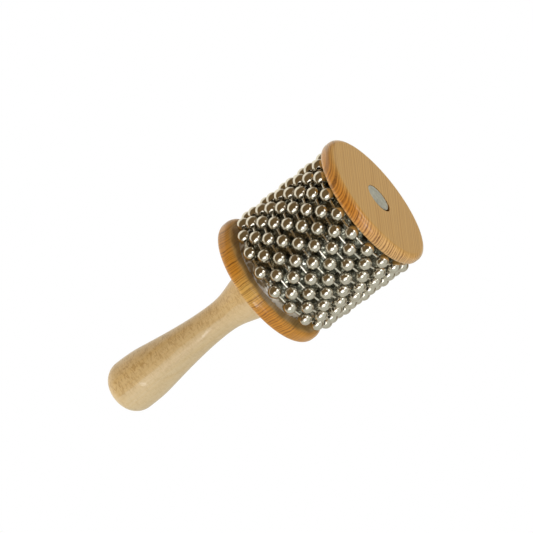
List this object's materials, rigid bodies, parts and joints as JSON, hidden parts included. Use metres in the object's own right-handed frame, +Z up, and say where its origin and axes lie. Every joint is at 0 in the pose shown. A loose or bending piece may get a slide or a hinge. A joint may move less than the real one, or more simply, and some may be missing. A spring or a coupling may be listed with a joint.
{
  "type": "cabasa",
  "caption": "Hand-held cabasa: turned wooden handle, two wooden discs and a steel-skinned drum ringed by nested loops of ball chain that turn freely and scrape when it is twisted.",
  "frame": {"origin": "centre of the end disc's outer face, on the drum axis", "axes": "+Z up the drum axis from the end disc to the pommel; -Y is the side that the picture shows"},
  "size_m": [0.0767, 0.0764, 0.1874],
  "materials": {
    "handle_wood": "clear gloss lacquer",
    "disc_wood": "clear satin lacquer",
    "core_wood": "bare",
    "skin_steel": "polished",
    "bead_metal": "polished nickel",
    "link_metal": "polished nickel",
    "bolt_steel": "zinc plated",
    "insert_brass": "turned",
    "cap_metal": "satin"
  },
  "bodies": {
    "instrument": {"end_disc": "disc_wood", "handle_disc": "disc_wood", "drum_core": "core_wood", "drum_skin": "skin_steel", "handle": "handle_wood", "handle_insert": "insert_brass", "clamp_bolt": "bolt_steel", "bolt_washer": "bolt_steel", "end_cap": "cap_metal"},
    "bead_loops": {"loop_1_beads": "bead_metal", "loop_1_links": "link_metal", "loop_2_beads": "bead_metal", "loop_2_links": "link_metal", "loop_3_beads": "bead_metal", "loop_3_links": "link_metal", "loop_4_beads": "bead_metal", "loop_4_links": "link_metal", "loop_5_beads": "bead_metal", "loop_5_links": "link_metal", "loop_6_beads": "bead_metal", "loop_6_links": "link_metal", "loop_7_beads": "bead_metal", "loop_7_links": "link_metal", "loop_8_beads": "bead_metal", "loop_8_links": "link_metal", "loop_9_beads": "bead_metal", "loop_9_links": "link_metal"}
  },
  "joints": [
    {"name": "loops_turn", "type": "hinge", "parent": "instrument", "child": "bead_loops", "pos_m": [-0.00115, 0, 0.0379], "axis": [0, 0, 1], "continuous": true}
  ]
}
